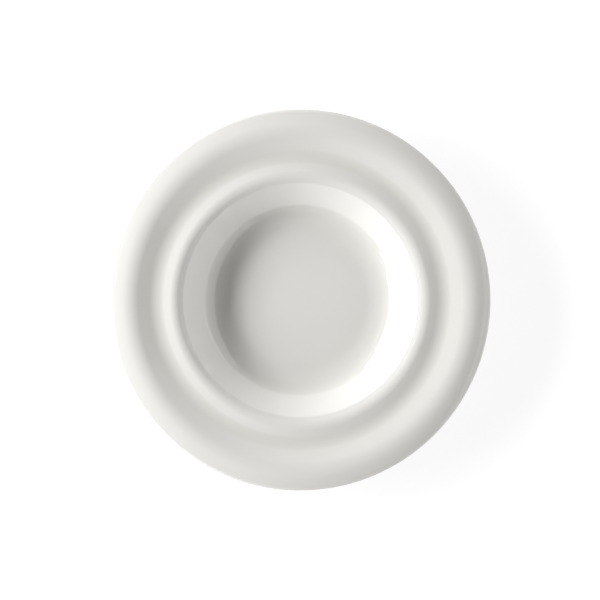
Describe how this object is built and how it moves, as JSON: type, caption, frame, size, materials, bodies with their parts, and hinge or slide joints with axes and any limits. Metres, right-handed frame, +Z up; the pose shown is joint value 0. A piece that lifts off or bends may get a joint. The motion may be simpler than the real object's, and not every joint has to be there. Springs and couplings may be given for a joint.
{
  "type": "pasta bowl",
  "caption": "Round rimmed pasta bowl in white glazed porcelain, with a coved well, a broad softly swelling rim, a rounded edge and a foot ring.",
  "frame": {"origin": "on the table under the middle of the floor, on the axis of the bowl", "axes": "+Z up along the axis that the bowl is turned about; X and Y are equal directions across it"},
  "size_m": [0.27, 0.27, 0.0348],
  "materials": {
    "clay": "bare fired porcelain, fine and matt",
    "glaze": "white gloss glaze"
  },
  "bodies": {
    "root": {"porcelain_body": "clay", "face_glaze": "glaze", "back_glaze": "glaze", "recess_glaze": "glaze"}
  },
  "joints": []
}
